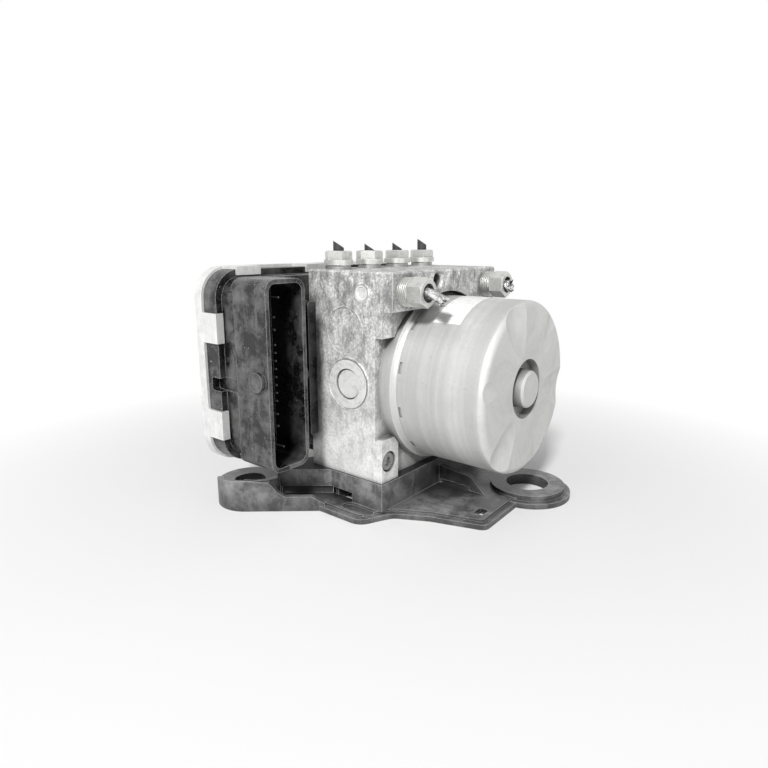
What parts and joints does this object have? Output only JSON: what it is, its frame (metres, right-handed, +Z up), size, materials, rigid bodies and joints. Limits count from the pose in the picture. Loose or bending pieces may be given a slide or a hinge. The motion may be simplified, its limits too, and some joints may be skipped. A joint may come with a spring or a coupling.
{
  "type": "abs brake module",
  "caption": "Anti-lock brake hydraulic unit: metal valve block with pump motor, solenoid control unit with plug socket, cut pipe stubs in their nuts, and a moulded bracket with two eyes",
  "frame": {"origin": "on the base plane of the bracket, midway between its two mounting eyes", "axes": "+X along the motor's shaft, out of the motor's end; -Y towards the side with the plug socket; +Z up, out of the wheel pipes' ports"},
  "size_m": [0.1342, 0.1307, 0.1209],
  "materials": {
    "black_plastic": "moulded glass-filled plastic",
    "board": "laminate",
    "brass_pin": "tinned copper alloy contacts",
    "carbon": "pressed carbon",
    "cast_aluminium": "machined block with a fine milled and tumbled surface",
    "chip": "moulded components",
    "copper": "enamelled copper winding",
    "dark_coat": "dark protective coat on steel tube",
    "label": "blank film",
    "magnet": "pressed ferrite",
    "plated_nut": "plated steel nuts",
    "rubber": "moulded seal",
    "sheet_aluminium": "pressed sheet",
    "steel": "ground or turned steel",
    "zinc_steel": "zinc-plated drawn steel"
  },
  "bodies": {
    "module": {"valve_block": "cast_aluminium", "motor_flange": "zinc_steel", "motor_can": "zinc_steel", "pump_plugs": "steel", "damper_covers": "sheet_aluminium", "ball_seals": "steel", "accumulator_covers": "sheet_aluminium", "control_housing": "black_plastic", "control_cover": "sheet_aluminium", "housing_screws": "steel", "wheel_fittings": "plated_nut", "wheel_pipe_1": "dark_coat", "wheel_pipe_2": "dark_coat", "wheel_pipe_3": "dark_coat", "wheel_pipe_4": "dark_coat", "master_fittings": "plated_nut", "master_pipe_1": "steel", "master_pipe_2": "steel", "bracket": "black_plastic", "bracket_bolts": "steel", "motor_magnets": "magnet", "front_bearing": "steel", "rear_bearing": "steel", "tail_bearing": "steel", "brush_holder": "black_plastic", "brushes": "carbon", "motor_contacts": "brass_pin", "pump_sleeves": "steel", "pump_spring_1": "steel", "pump_spring_2": "steel", "accumulator_spring_1": "steel", "accumulator_spring_2": "steel", "valve_cartridges": "steel", "solenoid_coils": "chip", "circuit_board": "board", "board_components": "chip", "housing_seal": "rubber", "motor_label": "label", "connector_pins": "brass_pin"},
    "rotor": {"rotor_shaft": "steel", "rotor_core": "steel", "rotor_windings": "copper", "commutator": "copper", "eccentric": "steel"},
    "roller": {"eccentric_ring": "steel"},
    "pump_piston_1": {"pump_piston_1": "steel"},
    "pump_piston_2": {"pump_piston_2": "steel"},
    "accumulator_piston_1": {"accumulator_piston_1": "sheet_aluminium"},
    "accumulator_piston_2": {"accumulator_piston_2": "sheet_aluminium"},
    "valve_plunger_1": {"valve_plunger_1": "steel"},
    "valve_plunger_2": {"valve_plunger_2": "steel"},
    "valve_plunger_3": {"valve_plunger_3": "steel"},
    "valve_plunger_4": {"valve_plunger_4": "steel"},
    "valve_plunger_5": {"valve_plunger_5": "steel"},
    "valve_plunger_6": {"valve_plunger_6": "steel"},
    "valve_plunger_7": {"valve_plunger_7": "steel"},
    "valve_plunger_8": {"valve_plunger_8": "steel"}
  },
  "joints": [
    {"name": "rotor_turn", "type": "hinge", "parent": "module", "child": "rotor", "pos_m": [0, 0.0193, 0.0582], "axis": [1, 0, 0], "continuous": true},
    {"name": "roller_turn", "type": "hinge", "parent": "rotor", "child": "roller", "pos_m": [-0.0068, 0.0193, 0.0571], "axis": [1, 0, 0], "continuous": true},
    {"name": "pump_stroke_1", "type": "slide", "parent": "module", "child": "pump_piston_1", "axis": [0, 1, 0], "range_m": [0, 0.001], "deforming": ["pump_spring_1"]},
    {"name": "pump_stroke_2", "type": "slide", "parent": "module", "child": "pump_piston_2", "axis": [0, -1, 0], "range_m": [0, 0.001], "deforming": ["pump_spring_2"]},
    {"name": "accumulator_stroke_1", "type": "slide", "parent": "module", "child": "accumulator_piston_1", "axis": [0, 0, -1], "range_m": [0, 0.008], "stiffness_N_per_m": 1500, "springref_m": -0.003, "deforming": ["accumulator_spring_1"]},
    {"name": "accumulator_stroke_2", "type": "slide", "parent": "module", "child": "accumulator_piston_2", "axis": [0, 0, -1], "range_m": [0, 0.008], "stiffness_N_per_m": 1500, "springref_m": -0.003, "deforming": ["accumulator_spring_2"]},
    {"name": "valve_stroke_1", "type": "slide", "parent": "module", "child": "valve_plunger_1", "axis": [1, 0, 0], "range_m": [0, 0.0003], "stiffness_N_per_m": 500, "springref_m": -0.002},
    {"name": "valve_stroke_2", "type": "slide", "parent": "module", "child": "valve_plunger_2", "axis": [1, 0, 0], "range_m": [0, 0.0003], "stiffness_N_per_m": 500, "springref_m": -0.002},
    {"name": "valve_stroke_3", "type": "slide", "parent": "module", "child": "valve_plunger_3", "axis": [1, 0, 0], "range_m": [0, 0.0003], "stiffness_N_per_m": 500, "springref_m": -0.002},
    {"name": "valve_stroke_4", "type": "slide", "parent": "module", "child": "valve_plunger_4", "axis": [1, 0, 0], "range_m": [0, 0.0003], "stiffness_N_per_m": 500, "springref_m": -0.002},
    {"name": "valve_stroke_5", "type": "slide", "parent": "module", "child": "valve_plunger_5", "axis": [-1, 0, 0], "range_m": [0, 0.0003], "stiffness_N_per_m": 500, "springref_m": -0.002},
    {"name": "valve_stroke_6", "type": "slide", "parent": "module", "child": "valve_plunger_6", "axis": [-1, 0, 0], "range_m": [0, 0.0003], "stiffness_N_per_m": 500, "springref_m": -0.002},
    {"name": "valve_stroke_7", "type": "slide", "parent": "module", "child": "valve_plunger_7", "axis": [-1, 0, 0], "range_m": [0, 0.0003], "stiffness_N_per_m": 500, "springref_m": -0.002},
    {"name": "valve_stroke_8", "type": "slide", "parent": "module", "child": "valve_plunger_8", "axis": [-1, 0, 0], "range_m": [0, 0.0003], "stiffness_N_per_m": 500, "springref_m": -0.002}
  ]
}
